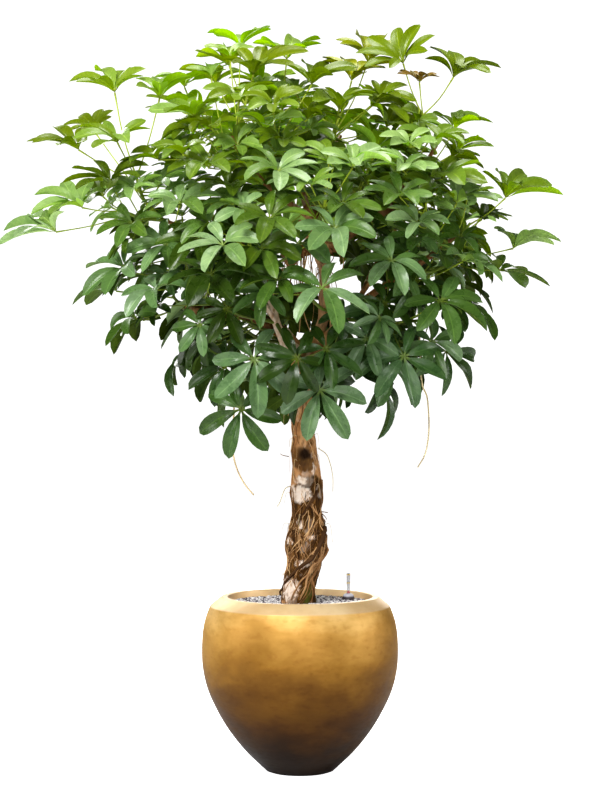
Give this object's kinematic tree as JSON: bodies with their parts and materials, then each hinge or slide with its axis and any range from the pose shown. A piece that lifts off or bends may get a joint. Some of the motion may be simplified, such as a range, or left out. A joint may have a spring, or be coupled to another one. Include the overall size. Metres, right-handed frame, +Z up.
{
  "type": "potted umbrella plant",
  "caption": "Umbrella tree with a woody trunk, branched crown and palmate leaves, planted in a round gilded planter with stone granulate and a water level gauge.",
  "frame": {"origin": "middle of the planter's foot, on the floor", "axes": "+Z up along the planter's axis, -Y towards the viewer of the front, +X to the viewer's right"},
  "size_m": [1.4811, 1.1827, 1.9905],
  "materials": {
    "planter": "satin",
    "substrate": "matte",
    "granulate": "matte",
    "clear": "gloss",
    "collar": "satin",
    "float": "satin",
    "bark": "matte",
    "leaf_low": "satin",
    "leaf_middle": "satin",
    "leaf_high": "satin"
  },
  "bodies": {
    "root": {"planter": "planter", "substrate": "substrate", "granulate": "granulate", "gauge_tube": "clear", "gauge_collar": "collar", "gauge_float": "float", "trunk": "bark", "shoot_01": "leaf_high", "shoot_02": "leaf_middle", "shoot_03": "leaf_middle", "shoot_04": "leaf_high", "shoot_05": "leaf_high", "shoot_06": "leaf_high", "shoot_07": "leaf_high", "shoot_08": "leaf_high", "shoot_09": "leaf_high", "shoot_10": "leaf_middle", "shoot_11": "leaf_middle", "shoot_12": "leaf_middle", "shoot_13": "leaf_middle", "shoot_14": "leaf_middle", "shoot_15": "leaf_low", "shoot_16": "leaf_middle", "shoot_17": "leaf_low", "shoot_18": "leaf_low", "shoot_19": "leaf_low", "shoot_20": "leaf_low", "shoot_21": "leaf_middle", "shoot_22": "leaf_high", "shoot_23": "leaf_high", "shoot_24": "leaf_low", "shoot_25": "leaf_high", "shoot_26": "leaf_middle", "shoot_27": "leaf_low", "shoot_28": "leaf_high", "shoot_29": "leaf_low", "shoot_30": "leaf_high", "shoot_31": "leaf_middle", "shoot_32": "leaf_low", "shoot_33": "leaf_high", "shoot_34": "leaf_middle", "shoot_35": "leaf_high", "shoot_36": "leaf_high", "shoot_37": "leaf_low", "shoot_38": "leaf_low", "shoot_39": "leaf_high", "shoot_40": "leaf_middle", "shoot_41": "leaf_low", "shoot_42": "leaf_high"}
  },
  "joints": []
}
